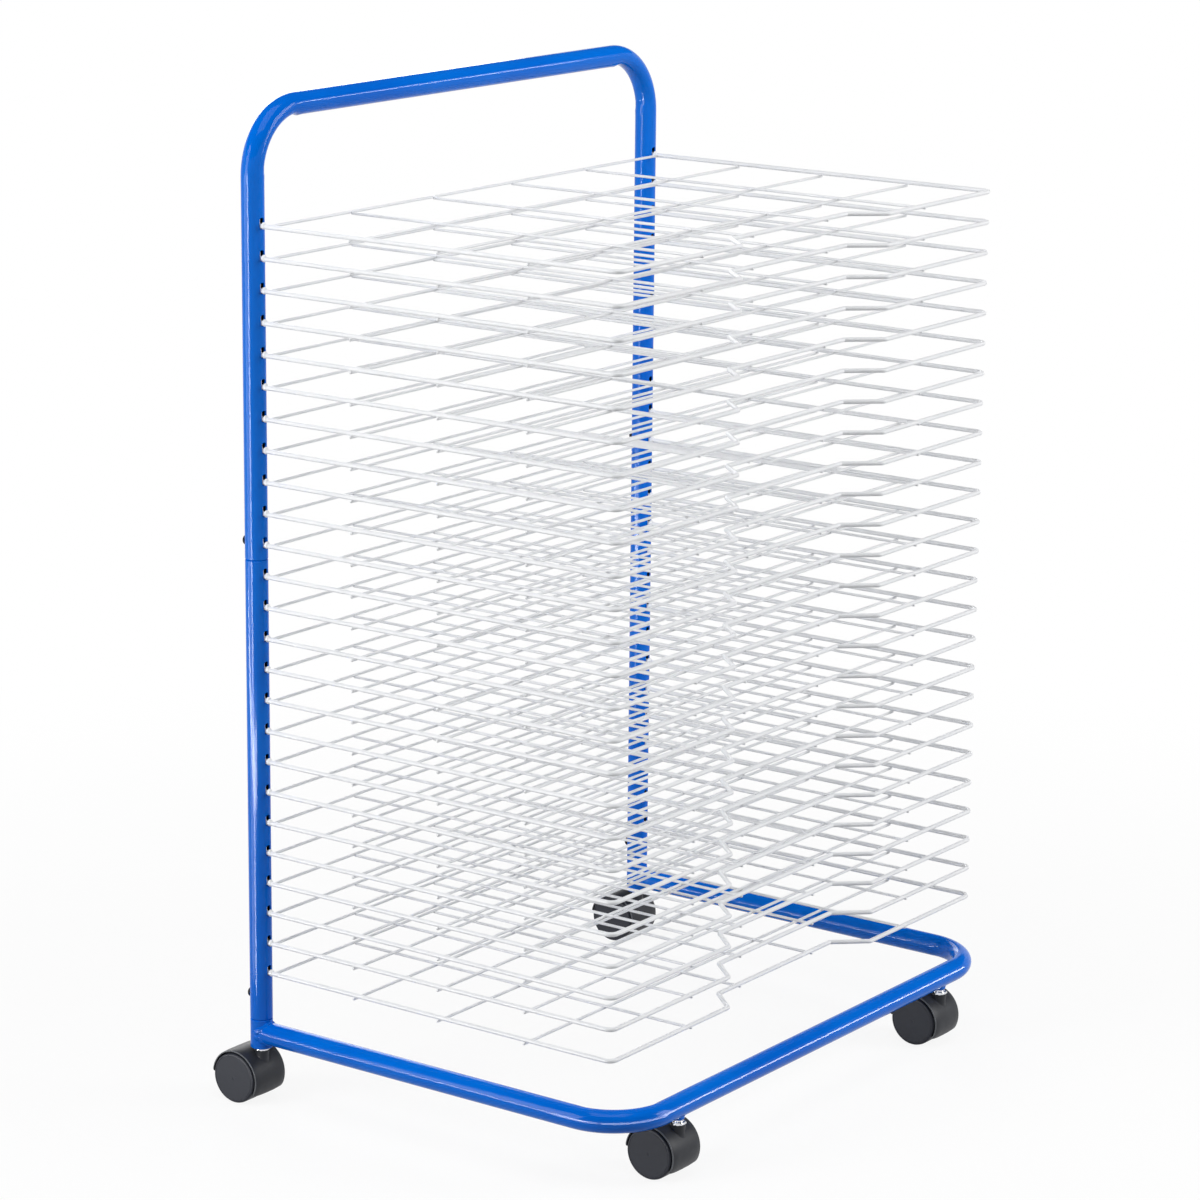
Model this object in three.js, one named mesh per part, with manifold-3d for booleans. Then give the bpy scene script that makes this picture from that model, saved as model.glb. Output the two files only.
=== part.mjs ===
// An art drying rack: a bent steel tube frame on four twin-wheel swivel casters, carrying
// twenty-five wire shelves that hook into slots in the two posts.
// Millimetres, +Z up, shelves reaching towards -Y, left at -X.
// The origin lies on the floor under the middle of the rack's outline.
import * as THREE from 'three';
import { mergeVertices } from 'three/addons/utils/BufferGeometryUtils.js';
import Module from 'manifold-3d';

const wasm = await Module();
wasm.setup();

// Tube frame: heights are above the axis of the base tube
const tubeDiameter = 22;
const tubeWall = 1.2;
const tubeSides = 12;
const postSpacing = 624;
const baseDepth = 436;
const baseBend = 58;
const hoopBend = 62;
const bendSteps = 4;
const hoopRise = 895;
const midSeamRise = 471;
const stubRise = 14.5;
const spigotRoot = 4;
const spigotLength = 40;
const fitGap = 0.3;

// Bolts through the back of the posts, with their nuts inside the spigots
const boltDiameter = 6;
const boltHeadDiameter = 10;
const boltHeadHeight = 3;
const boltCrown = 1.6;
const boltSides = 8;
const boltTip = 1.5;
const nutAcrossCorners = 10;
const nutThickness = 4;
const midBoltRise = 17;
const baseBoltRise = 24;

// Wire shelves
const shelfCount = 25;
const shelfPitch = 30.25;
const lowestShelfRise = 62;
const shelfReach = 418;
const frameWire = 4.4;
const gridWire = 2.8;
const wireSides = 4;
const shelfCorner = 16;
const cornerSteps = 2;
const notchOuter = 124;
const notchInner = 97;
const notchDepth = 30;
const frontBackWires = 4;
const crossWires = 3;
const crossPitch = 101.5;
const backWireGap = 3;
const crossLap = 0.5;
const hookRise = 10;
const hookBend = 3.4;
const hookClearance = 0.6;
const slotHeadroom = 3.5;

// Casters: heights are above the floor
const frontCasterSpacing = 460;
const wheelDiameter = 50;
const wheelSides = 16;
const wheelWidth = 18;
const wheelFace = 4;
const wheelEdge = 1.2;
const casterTrail = 17;
const axleDiameter = 6;
const axleSides = 8;
const webThickness = 9;
const webRunningGap = 0.5;
const hoodClearance = 1.2;
const hoodWall = 2;
const hoodWidth = 38;
const hoodSteps = 12;
const hoodFrontAngle = -35;
const hoodRearAngle = 180;
const swivelBossSink = 1;
const swivelBossDiameter = 14.4;
const swivelBossTaper = 1.8;
const swivelBossDepth = 20;
const stemSides = 12;
const stemPinDiameter = 5;
const stemPinDepth = 15;
const flangeAcrossCorners = 15.6;
const stemFlangeSides = 6;
const stemFlangeHeight = 2.5;
const stemNeckDiameter = 9.6;
const stemNeckHeight = 2.2;
const stemThreadDiameter = 7;
const stemThreadLength = 11;
const frontBossDiameter = 12;
const frontBossDrop = 1.8;

// Sizes that follow from the ones above
const tubeRadius = tubeDiameter / 2;
const tubeBore = tubeRadius - tubeWall;
const middleOfWall = tubeRadius - tubeWall / 2;
const spigotRadius = tubeBore - fitGap;
const spigotBore = spigotRadius - tubeWall;
const wheelRadius = wheelDiameter / 2;
const hoodInner = wheelRadius + hoodClearance;
const hoodOuter = hoodInner + hoodWall;
const swivelBossTop = wheelRadius + hoodOuter - swivelBossSink;
const flangeBottom = swivelBossTop + fitGap;
const neckBottom = flangeBottom + stemFlangeHeight;
const threadBottom = neckBottom + stemNeckHeight;
const stemTop = threadBottom + stemThreadLength;
const baseAxisHeight = threadBottom + fitGap + frontBossDrop + tubeRadius;
const seamHeight = baseAxisHeight + midSeamRise;
const stubTop = baseAxisHeight + stubRise;
const stubBottom = neckBottom + fitGap;
const plugTop = stubTop - spigotRoot;
const postX = postSpacing / 2;
// The round wires are modelled as square bars of the same area
const wireHalf = frameWire * Math.sqrt(Math.PI) / 4;
const gridHalf = gridWire * Math.sqrt(Math.PI) / 4;
const rackFront = baseDepth + Math.max(tubeRadius, hoodOuter - casterTrail);
const rackBack = casterTrail + hoodOuter;
const postLine = (rackFront - rackBack) / 2;
const sides = { left: -1, right: 1 };

const frameBlue = new THREE.MeshStandardMaterial({ color: 0x1657c9, roughness: 0.32, metalness: 0.0 });
const shelfWhite = new THREE.MeshStandardMaterial({ color: 0xeeeff1, roughness: 0.45, metalness: 0.0 });
const casterBlack = new THREE.MeshStandardMaterial({ color: 0x2b2e33, roughness: 0.55, metalness: 0.0 });
const boltBlack = new THREE.MeshStandardMaterial({ color: 0x16171a, roughness: 0.4, metalness: 0.6 });
const stemChrome = new THREE.MeshStandardMaterial({ color: 0xd9dbde, roughness: 0.15, metalness: 1.0 });
const zincSteel = new THREE.MeshStandardMaterial({ color: 0xa9acb0, roughness: 0.4, metalness: 1.0 });

// Closed geometry to a solid for joining and cutting, and back again
function solid(geometry) {
  const bare = geometry.index ? geometry.toNonIndexed() : geometry.clone();
  bare.deleteAttribute('normal');
  bare.deleteAttribute('uv');
  const merged = mergeVertices(bare);
  const index = merged.index.array;
  const corners = [];
  for (let i = 0; i < index.length; i += 3) {
    const [a, b, c] = [index[i], index[i + 1], index[i + 2]];
    if (a !== b && b !== c && c !== a) corners.push(a, b, c);
  }
  const vertProperties = new Float32Array(merged.attributes.position.array);
  const triVerts = new Uint32Array(corners);
  return new wasm.Manifold(new wasm.Mesh({ numProp: 3, vertProperties, triVerts }));
}

function join(first, ...others) {
  return others.reduce((whole, other) => whole.add(other), first);
}

function cut(first, ...tools) {
  return tools.reduce((whole, tool) => whole.subtract(tool), first);
}

function geometryOf(body) {
  const mesh = body.getMesh();
  const geometry = new THREE.BufferGeometry();
  geometry.setAttribute('position', new THREE.Float32BufferAttribute(mesh.vertProperties, mesh.numProp));
  geometry.setIndex(Array.from(mesh.triVerts));
  geometry.computeVertexNormals();
  return geometry;
}

function piece(name, geometry, material, parent) {
  const mesh = new THREE.Mesh(geometry, material);
  mesh.name = name;
  parent.add(mesh);
  return mesh;
}

// A regular outline with flats towards +-X, sized by its corners or by its flats
function polygon(radius, count, type = THREE.Shape) {
  const points = [];
  for (let i = 0; i < count; i++) {
    const angle = (i + 0.5) * 2 * Math.PI / count;
    points.push(new THREE.Vector2(radius * Math.cos(angle), radius * Math.sin(angle)));
  }
  return new type(points);
}

function acrossFlats(apothem, count) {
  return apothem / Math.cos(Math.PI / count);
}

function tubeSection(outer, bore) {
  const shape = polygon(acrossFlats(outer, tubeSides), tubeSides);
  shape.holes.push(polygon(acrossFlats(bore, tubeSides), tubeSides, THREE.Path));
  return shape;
}

// A route of straight runs and round bends that steps only where it turns
class BentRoute extends THREE.Curve {
  constructor() {
    super();
    this.points = [];
    this.tangents = [];
  }

  add(point, tangent) {
    this.points.push(point);
    this.tangents.push(tangent.clone().normalize());
    return this;
  }

  getSpacedPoints() {
    return this.points.map((point) => point.clone());
  }

  getTangentAt(u) {
    return this.tangents[Math.round(u * (this.points.length - 1))].clone();
  }
}

// Each corner is a point with its bend radius and its number of steps; no radius makes a mitre
function bentRoute(corners) {
  const route = new BentRoute();
  corners.forEach(({ at, radius = 0, steps = 1 }, i) => {
    const before = i > 0 ? at.clone().sub(corners[i - 1].at).normalize() : null;
    const after = i < corners.length - 1 ? corners[i + 1].at.clone().sub(at).normalize() : null;
    if (!before || !after) {
      route.add(at, before || after);
      return;
    }
    if (radius === 0) {
      route.add(at, before.clone().add(after));
      return;
    }
    const turn = before.angleTo(after);
    const axis = before.clone().cross(after).normalize();
    const reach = radius * Math.tan(turn / 2);
    const start = at.clone().addScaledVector(before, -reach);
    const inward = axis.clone().cross(before);
    const centre = start.clone().addScaledVector(inward, radius);
    for (let step = 0; step <= steps; step++) {
      const angle = turn * step / steps;
      const spoke = start.clone().sub(centre).applyAxisAngle(axis, angle);
      route.add(centre.clone().add(spoke), before.clone().applyAxisAngle(axis, angle));
    }
  });
  return route;
}

function sweep(shape, corners) {
  const route = bentRoute(corners);
  return solid(new THREE.ExtrudeGeometry(shape, { extrudePath: route, steps: route.points.length - 1 }));
}

// A turned piece standing on Z: [radius, height] pairs with flats towards +-X
function turned(profile, count, flats = false) {
  const scale = flats ? acrossFlats(1, count) : 1;
  const points = profile.map(([radius, height]) => new THREE.Vector2(radius * scale, height));
  const geometry = new THREE.LatheGeometry(points, count, Math.PI / count);
  return solid(geometry.rotateX(Math.PI / 2));
}

function ringProfile(profile) {
  return [...profile, profile[0]];
}

function rod(radius, bottom, top, count, flats = false) {
  return turned([[0, bottom], [radius, bottom], [radius, top], [0, top]], count, flats);
}

function box(low, high) {
  const size = high.clone().sub(low);
  const centre = low.clone().add(high).multiplyScalar(0.5);
  return solid(new THREE.BoxGeometry(size.x, size.y, size.z).translate(centre.x, centre.y, centre.z));
}

function vector(x, y, z) {
  return new THREE.Vector3(x, y, z);
}

function shelfHeight(number) {
  return baseAxisHeight + lowestShelfRise + (shelfCount - number) * shelfPitch;
}

// Slots in the front of a post: each lets one hook in, with headroom to lift it out
function slotsBetween(x, bottom, top) {
  const slots = [];
  for (let number = 1; number <= shelfCount; number++) {
    const low = shelfHeight(number) - wireHalf - fitGap;
    const high = shelfHeight(number) + wireHalf + slotHeadroom;
    if (high > bottom && low < top) {
      const halfWidth = frameWire / 2 + fitGap;
      slots.push(box(vector(x - halfWidth, -tubeDiameter, low), vector(x + halfWidth, 0, high)));
    }
  }
  return slots;
}

// A hole for a bolt in the back of a post
function boltHole(x, height) {
  const drill = rod(boltDiameter / 2 + fitGap, 0, tubeDiameter, boltSides);
  return drill.rotate([-90, 0, 0]).translate([x, 0, height]);
}

const rack = new THREE.Group();
rack.position.y = postLine;

const frame = new THREE.Group();
rack.add(frame);

// Top hoop: two posts and the push bar, bent from one tube
function topHoop() {
  const foot = seamHeight + fitGap;
  const top = baseAxisHeight + hoopRise;
  const corners = [
    { at: vector(-postX, 0, foot) },
    { at: vector(-postX, 0, top), radius: hoopBend, steps: bendSteps },
    { at: vector(postX, 0, top), radius: hoopBend, steps: bendSteps },
    { at: vector(postX, 0, foot) },
  ];
  const cuts = [];
  for (const side of Object.values(sides)) {
    cuts.push(...slotsBetween(side * postX, foot, top));
    cuts.push(boltHole(side * postX, seamHeight + midBoltRise));
  }
  return cut(sweep(tubeSection(tubeRadius, tubeBore), corners), ...cuts);
}

// Lower post: a straight tube with its top drawn down to a spigot
function lowerPost(x) {
  const foot = stubTop + fitGap;
  const shoulder = seamHeight;
  const tip = seamHeight + spigotLength;
  const profile = ringProfile([
    [tubeRadius, foot],
    [tubeRadius, shoulder],
    [spigotRadius, shoulder],
    [spigotRadius, tip],
    [spigotBore, tip],
    [spigotBore, shoulder - tubeWall],
    [tubeBore, shoulder - tubeWall - (tubeBore - spigotBore)],
    [tubeBore, foot],
  ]);
  const post = turned(profile, tubeSides, true).translate([x, 0, 0]);
  const holes = [boltHole(x, stubTop + baseBoltRise), boltHole(x, seamHeight + midBoltRise)];
  return cut(post, ...slotsBetween(x, foot, tip), ...holes);
}

// Base loop: a U of tube welded to the front of two stubs, with bosses for the front casters
function baseStub(x) {
  const tip = stubTop + spigotLength;
  const waist = plugTop + fitGap;
  const profile = ringProfile([
    [tubeRadius, stubBottom],
    [tubeRadius, stubTop],
    [spigotRadius, stubTop],
    [spigotRadius, tip],
    [spigotBore, tip],
    [spigotBore, waist],
    [tubeBore, waist],
    [tubeBore, stubBottom],
  ]);
  const stub = turned(profile, tubeSides, true).translate([x, 0, 0]);
  return cut(stub, boltHole(x, stubTop + baseBoltRise), ...slotsBetween(x, stubTop, tip));
}

function frontBoss(x) {
  const bottom = threadBottom + fitGap;
  const boss = rod(frontBossDiameter / 2, bottom, baseAxisHeight, tubeSides);
  const hollow = rod(middleOfWall, -frontBossDiameter, frontBossDiameter, tubeSides, true);
  const along = hollow.rotate([0, 90, 0]).translate([0, 0, baseAxisHeight]);
  return cut(boss, along).translate([x, -baseDepth, 0]);
}

function baseLoop() {
  const corners = [
    { at: vector(-postX, 0, baseAxisHeight) },
    { at: vector(-postX, -baseDepth, baseAxisHeight), radius: baseBend, steps: bendSteps },
    { at: vector(postX, -baseDepth, baseAxisHeight), radius: baseBend, steps: bendSteps },
    { at: vector(postX, 0, baseAxisHeight) },
  ];
  let loop = sweep(tubeSection(tubeRadius, tubeBore), corners);
  for (const side of Object.values(sides)) {
    const cope = rod(middleOfWall, 0, stubTop + tubeDiameter, tubeSides, true);
    loop = cut(loop, cope.translate([side * postX, 0, 0]));
    loop = join(loop, baseStub(side * postX));
    loop = join(loop, frontBoss(side * frontCasterSpacing / 2));
    const thread = rod(stemThreadDiameter / 2 + fitGap, 0, baseAxisHeight, stemSides);
    loop = cut(loop, thread.translate([side * frontCasterSpacing / 2, -baseDepth, 0]));
  }
  return loop;
}

// Plug pressed into the foot of each stub to take a rear caster's stem
function stubPlug() {
  const neckRecess = threadBottom + fitGap;
  const neckBore = stemNeckDiameter / 2 + fitGap;
  const threadBore = stemThreadDiameter / 2 + fitGap;
  const blank = rod(spigotRadius, stubBottom, plugTop, tubeSides, true);
  const recess = rod(neckBore, 0, neckRecess, stemSides);
  return cut(blank, recess, rod(threadBore, 0, stemTop + fitGap, stemSides));
}

// Where a nut of a given radius meets the round inside of the spigot
function nutSeat(radius) {
  return Math.sqrt(spigotBore ** 2 - radius ** 2) - fitGap;
}

// Button-head bolt lying along Y with its head on the back of the post
function bolt() {
  const seat = tubeRadius + fitGap;
  const end = nutSeat(boltDiameter / 2) - nutThickness - boltTip;
  const head = boltHeadDiameter / 2;
  const profile = [
    [0, end],
    [boltDiameter / 2, end],
    [boltDiameter / 2, seat],
    [head, seat],
    [head, seat + boltHeadHeight - boltCrown],
    [head - boltCrown, seat + boltHeadHeight],
    [0, seat + boltHeadHeight],
  ];
  return turned(profile, boltSides).rotate([-90, 0, 0]);
}

function nut() {
  const bore = boltDiameter / 2 + fitGap;
  const outline = nutAcrossCorners / 2;
  const back = nutSeat(bore) - nutThickness;
  const profile = ringProfile([
    [bore, back],
    [outline, back],
    [outline, nutSeat(outline)],
    [bore, nutSeat(bore)],
  ]);
  return turned(profile, boltSides).rotate([-90, 0, 0]);
}

piece('top_hoop', geometryOf(topHoop()), frameBlue, frame);
piece('base_loop', geometryOf(baseLoop()), frameBlue, frame);
for (const [name, side] of Object.entries(sides)) {
  piece(`lower_post_${name}`, geometryOf(lowerPost(side * postX)), frameBlue, frame);
  const plug = piece(`stub_plug_${name}`, geometryOf(stubPlug()), zincSteel, frame);
  plug.position.x = side * postX;
  for (const [level, height] of [['mid', seamHeight + midBoltRise], ['base', stubTop + baseBoltRise]]) {
    const screw = piece(`${level}_bolt_${name}`, geometryOf(bolt()), boltBlack, frame);
    const catcher = piece(`${level}_nut_${name}`, geometryOf(nut()), zincSteel, frame);
    screw.position.set(side * postX, 0, height);
    catcher.position.set(side * postX, 0, height);
  }
}

// Wire shelf about the height of its side wires: a bent outer wire with a notch in its front,
// a back wire, cross wires lapped under the sides and front-to-back wires between them
function shelf() {
  const hookY = -(spigotBore - hookClearance - wireHalf);
  const front = -shelfReach;
  const notch = front + notchDepth;
  const half = [
    { at: vector(postX, hookY, hookRise) },
    { at: vector(postX, hookY, 0), radius: hookBend },
    { at: vector(postX, front, 0), radius: shelfCorner, steps: cornerSteps },
    { at: vector(notchOuter, front, 0) },
    { at: vector(notchInner, notch, 0) },
  ];
  const mirrored = half.map(({ at, ...bend }) => ({ at: vector(-at.x, at.y, at.z), ...bend }));
  const section = polygon(acrossFlats(wireHalf, wireSides), wireSides);
  let whole = sweep(section, [...mirrored, ...half.reverse()]);

  const backY = -(tubeRadius + backWireGap + gridHalf);
  const crossZ = crossLap - wireHalf - gridHalf;
  const gridZ = crossZ + 2 * gridHalf + fitGap;
  const bar = (low, high) => box(low.addScalar(-gridHalf), high.addScalar(gridHalf));
  const frontAt = (x) => {
    const slope = (notchOuter - Math.abs(x)) / (notchOuter - notchInner);
    return front + notchDepth * THREE.MathUtils.clamp(slope, 0, 1);
  };

  whole = join(whole, bar(vector(-postX, backY, 0), vector(postX, backY, 0)));
  for (let i = 1; i <= crossWires; i++) {
    const y = backY - i * crossPitch;
    whole = join(whole, bar(vector(-postX, y, crossZ), vector(postX, y, crossZ)));
  }
  const column = postSpacing / (frontBackWires + 1);
  for (let i = 1; i <= frontBackWires; i++) {
    const x = i * column - postX;
    whole = join(whole, bar(vector(x, frontAt(x), gridZ), vector(x, backY, gridZ)));
  }
  return geometryOf(whole);
}

const shelfGeometry = shelf();
for (let number = 1; number <= shelfCount; number++) {
  const label = String(number).padStart(2, '0');
  const tier = piece(`shelf_${label}`, shelfGeometry, shelfWhite, rack);
  tier.position.z = shelfHeight(number);
}

// Caster pieces stand about the stem axis on the floor, with the wheels trailing towards +Y
function alongX(body) {
  return body.rotate([0, 90, 0]).translate([0, casterTrail, wheelRadius]);
}

function stem() {
  const pinBottom = swivelBossTop - stemPinDepth;
  const pin = rod(stemPinDiameter / 2, pinBottom, neckBottom, stemSides);
  const flange = rod(flangeAcrossCorners / 2, flangeBottom, neckBottom, stemFlangeSides);
  const neck = rod(stemNeckDiameter / 2, neckBottom - stemFlangeHeight / 2, threadBottom, stemSides);
  const thread = rod(stemThreadDiameter / 2, neckBottom, stemTop, stemSides);
  return join(pin, flange, neck, thread);
}

// Hood: a fender over both treads, a web between the wheels and a tapered swivel boss
function hood() {
  const point = (radius, angle) => {
    const turn = THREE.MathUtils.degToRad(angle);
    return new THREE.Vector2(-radius * Math.cos(turn), radius * Math.sin(turn));
  };
  const angles = [];
  for (let i = 0; i <= hoodSteps; i++) {
    angles.push(hoodFrontAngle + (hoodRearAngle - hoodFrontAngle) * i / hoodSteps);
  }
  const outer = angles.map((angle) => point(hoodOuter, angle));
  const inner = angles.map((angle) => point(hoodInner, angle));
  const middle = angles.map((angle) => point(hoodInner + hoodWall / 2, angle));
  const slab = (outline, width) => {
    const settings = { depth: width, bevelEnabled: false };
    const flat = new THREE.ExtrudeGeometry(new THREE.Shape(outline), settings).translate(0, 0, -width / 2);
    const upright = new THREE.Matrix4().makeBasis(vector(0, 1, 0), vector(0, 0, 1), vector(1, 0, 0));
    return solid(flat.applyMatrix4(upright)).translate([0, casterTrail, wheelRadius]);
  };
  const bossRadius = swivelBossDiameter / 2;
  const bossBottom = swivelBossTop - swivelBossDepth;
  const cone = turned([
    [0, bossBottom],
    [bossRadius - swivelBossTaper, bossBottom],
    [bossRadius, swivelBossTop],
    [0, swivelBossTop],
  ], stemSides);
  const wheelRoom = alongX(rod(hoodInner + hoodWall / 2, -hoodWidth, hoodWidth, 2 * wheelSides));
  const shell = join(slab([...outer, ...inner.reverse()], hoodWidth), slab(middle, webThickness));
  const pinBoreBottom = swivelBossTop - stemPinDepth - fitGap;
  const pinBore = rod(stemPinDiameter / 2 + fitGap, pinBoreBottom, neckBottom, stemSides);
  const axleBore = alongX(rod(axleDiameter / 2 + fitGap, -hoodWidth, hoodWidth, axleSides));
  return cut(join(shell, cut(cone, wheelRoom)), pinBore, axleBore);
}

function axle() {
  const reach = webThickness / 2 + webRunningGap + wheelWidth - wheelFace - fitGap;
  return alongX(rod(axleDiameter / 2, -reach, reach, axleSides));
}

// Wheel: a drum with a closed outer face, running on the axle
function wheel(side) {
  const inside = webThickness / 2 + webRunningGap;
  const outside = inside + wheelWidth;
  const bore = axleDiameter / 2 + fitGap;
  const profile = [
    [0, outside - wheelFace],
    [bore, outside - wheelFace],
    [bore, inside],
    [wheelRadius, inside],
    [wheelRadius, outside - wheelEdge],
    [wheelRadius - wheelEdge, outside],
    [0, outside],
  ];
  const drum = turned(profile, wheelSides, true);
  return alongX(side < 0 ? drum.rotate([180, 0, 0]) : drum);
}

const stemGeometry = geometryOf(stem());
const hoodGeometry = geometryOf(hood());
const axleGeometry = geometryOf(axle());
const casterPlaces = {
  rear: { spread: postX, y: 0 },
  front: { spread: frontCasterSpacing / 2, y: -baseDepth },
};
for (const [end, { spread, y }] of Object.entries(casterPlaces)) {
  for (const [hand, side] of Object.entries(sides)) {
    const caster = new THREE.Group();
    caster.position.set(side * spread, y, 0);
    rack.add(caster);
    const name = `caster_${end}_${hand}`;
    piece(`${name}_stem`, stemGeometry, stemChrome, caster);
    piece(`${name}_hood`, hoodGeometry, casterBlack, caster);
    piece(`${name}_axle`, axleGeometry, zincSteel, caster);
    for (const [face, way] of Object.entries(sides)) {
      piece(`${name}_wheel_${face}`, geometryOf(wheel(way)), casterBlack, caster);
    }
  }
}

export default rack;
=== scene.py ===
import math
import random

import bmesh
import bpy
from mathutils import Matrix, Vector


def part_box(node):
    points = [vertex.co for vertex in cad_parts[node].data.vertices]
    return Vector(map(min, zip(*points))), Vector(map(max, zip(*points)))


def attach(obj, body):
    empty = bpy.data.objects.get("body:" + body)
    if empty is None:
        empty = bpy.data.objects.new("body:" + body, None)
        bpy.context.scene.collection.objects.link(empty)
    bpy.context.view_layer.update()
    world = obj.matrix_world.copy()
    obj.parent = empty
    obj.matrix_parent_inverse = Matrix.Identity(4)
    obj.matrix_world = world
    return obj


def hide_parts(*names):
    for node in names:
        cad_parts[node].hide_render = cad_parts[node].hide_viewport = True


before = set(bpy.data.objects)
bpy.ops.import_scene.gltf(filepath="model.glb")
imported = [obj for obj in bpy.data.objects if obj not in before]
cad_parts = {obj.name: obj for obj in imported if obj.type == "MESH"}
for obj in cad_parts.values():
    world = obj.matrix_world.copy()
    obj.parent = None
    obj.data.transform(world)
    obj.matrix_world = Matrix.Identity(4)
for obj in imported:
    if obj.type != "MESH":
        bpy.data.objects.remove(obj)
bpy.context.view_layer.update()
mm = 0.001
random.seed(7)
print("frame loaded with", len(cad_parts), "solids")


# shader nodes
class Value:
    def __init__(self, shader, socket):
        self.shader = shader
        self.socket = socket

    def maths(self, operation, first, second):
        return self.shader.node("ShaderNodeMath", {"operation": operation}, {0: first, 1: second})

    def __add__(self, other):
        return self.maths("ADD", self, other)

    def __radd__(self, other):
        return self.maths("ADD", other, self)

    def __sub__(self, other):
        return self.maths("SUBTRACT", self, other)

    def __rsub__(self, other):
        return self.maths("SUBTRACT", other, self)

    def __mul__(self, other):
        return self.maths("MULTIPLY", self, other)

    def __rmul__(self, other):
        return self.maths("MULTIPLY", other, self)


class Shader:
    def __init__(self, owner):
        owner.use_nodes = True
        self.owner = owner
        self.tree = owner.node_tree
        self.tree.nodes.clear()

    def node(self, kind, settings=None, inputs=None, output=0):
        made = self.tree.nodes.new(kind)
        for key, value in (settings or {}).items():
            setattr(made, key, value)
        for key, value in (inputs or {}).items():
            if isinstance(value, Value):
                self.tree.links.new(value.socket, made.inputs[key])
            else:
                made.inputs[key].default_value = value
        return Value(self, made.outputs[output]) if made.outputs else None

    def blend(self, share, first, second):  # two colours, on a Mix node's colour sockets
        return self.node("ShaderNodeMix", {"data_type": "RGBA"}, {0: share, 6: first, 7: second}, 2)

    def place(self):
        return self.node("ShaderNodeTexCoord", output="Object")

    def mark(self, name):  # a number on the mesh's faces
        return self.node("ShaderNodeAttribute", {"attribute_name": name}, output="Fac")

    def noise(self, scale, detail, rough=0.5):
        inputs = {"Vector": self.place(), "Scale": scale, "Detail": detail, "Roughness": rough}
        return self.node("ShaderNodeTexNoise", None, inputs)

    def steps(self, value, low, high):  # 0 below low, 1 above high
        inputs = {"Value": value, "From Min": low, "From Max": high}
        return self.node("ShaderNodeMapRange", {"interpolation_type": "SMOOTHSTEP"}, inputs)

    def patches(self, scale, detail, rough, low, high):  # noise as patches with soft edges
        return self.steps(self.noise(scale, detail, rough), low, high)

    def bump(self, height, distance, strength):
        inputs = {"Height": height, "Distance": distance, "Strength": strength}
        return self.node("ShaderNodeBump", None, inputs)

    def finish(self, inputs):
        surface = self.node("ShaderNodeBsdfPrincipled", None, inputs)
        self.node("ShaderNodeOutputMaterial", None, {"Surface": surface})
        return self.owner


screenCurve = {"white": 255, "foot": 0.04045, "slope": 12.92, "offset": 0.055, "power": 2.4}


def tone(colour):  # a screen colour, 0 to 255, as a linear one
    linear = []
    for level in colour:
        share = level / screenCurve["white"]
        lifted = (share + screenCurve["offset"]) / (1 + screenCurve["offset"])
        curved = lifted ** screenCurve["power"]
        linear.append(curved if share > screenCurve["foot"] else share / screenCurve["slope"])
    return (*linear, 1)


# in the finishes below, five numbers are a pattern's scale, detail, roughness and the two levels
# it fades between, and two numbers are a grain's scale and detail
# the bore's colour is painted shade: near black for the dark inside of the uncoated tube
blueCoat = {"colour": (0, 114, 226), "deep": (0, 104, 216), "scuff": (34, 124, 220), "bare": (20, 22, 27),
            "drift": (7, 2, 0.5, 0.35, 0.65), "smear": (38, 4, 0.6, 0.52, 0.72),
            "nick": (240, 5, 0.7, 0.68, 0.75), "nickShare": 0.35,
            "rough": 0.09, "smearRough": 0.03, "grainRough": 0.02, "bareRough": 0.4,
            "peel": (620, 2), "grain": (2600, 1), "grainShare": 0.3, "height": 0.005 * mm, "strength": 0.5,
            "gloss": 0.1, "lacquer": 0.06, "lacquerRough": 0.04}


def paintBlue():
    look = blueCoat
    shader = Shader(bpy.data.materials.new("gloss_blue_powder_coat"))
    drift, smear, nick = (shader.patches(*look[key]) for key in ("drift", "smear", "nick"))
    peel, grain = (shader.noise(*look[key]) for key in ("peel", "grain"))
    inside = shader.mark("inside")  # the bore is uncoated, and is painted near black as the shade inside the tube
    body = shader.blend(drift, tone(look["deep"]), tone(look["colour"]))
    coated = shader.blend(nick * look["nickShare"], body, tone(look["scuff"]))
    # the bore's faces take the painted shade
    colour = shader.blend(inside, coated, tone(look["bare"]))
    rough = look["rough"] + smear * look["smearRough"] + grain * look["grainRough"]
    rough = rough + inside * look["bareRough"]
    normal = shader.bump(peel + grain * look["grainShare"], look["height"], look["strength"])
    return shader.finish({"Base Color": colour, "Roughness": rough, "Normal": normal,
                          "Specular IOR Level": look["gloss"], "Coat Weight": look["lacquer"],
                          "Coat Roughness": look["lacquerRough"]})


whiteCoat = {"colour": (245, 246, 248), "shade": (237, 239, 242),
             "drift": (16, 3, 0.5, 0.4, 0.66), "driftShare": 0.7,
             "speck": (520, 4, 0.7, 0.66, 0.74), "speckShare": 0.3,
             "rough": 0.36, "grainRough": 0.12, "speckRough": 0.08,
             "grain": (1900, 2), "height": 0.012 * mm, "strength": 0.5,
             "lacquer": 0.15, "lacquerRough": 0.2}


def paintWhite():
    look = whiteCoat
    shader = Shader(bpy.data.materials.new("satin_white_powder_coat"))
    drift, speck = (shader.patches(*look[key]) for key in ("drift", "speck"))
    grain = shader.noise(*look["grain"])
    shaded = drift * look["driftShare"] + speck * look["speckShare"]
    colour = shader.blend(shaded, tone(look["colour"]), tone(look["shade"]))
    rough = look["rough"] + grain * look["grainRough"] + speck * look["speckRough"]
    normal = shader.bump(grain, look["height"], look["strength"])
    return shader.finish({"Base Color": colour, "Roughness": rough, "Normal": normal,
                          "Coat Weight": look["lacquer"], "Coat Roughness": look["lacquerRough"]})


# the edge colour is a painted highlight along the hood's side edges, varied by the dust patches
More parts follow.
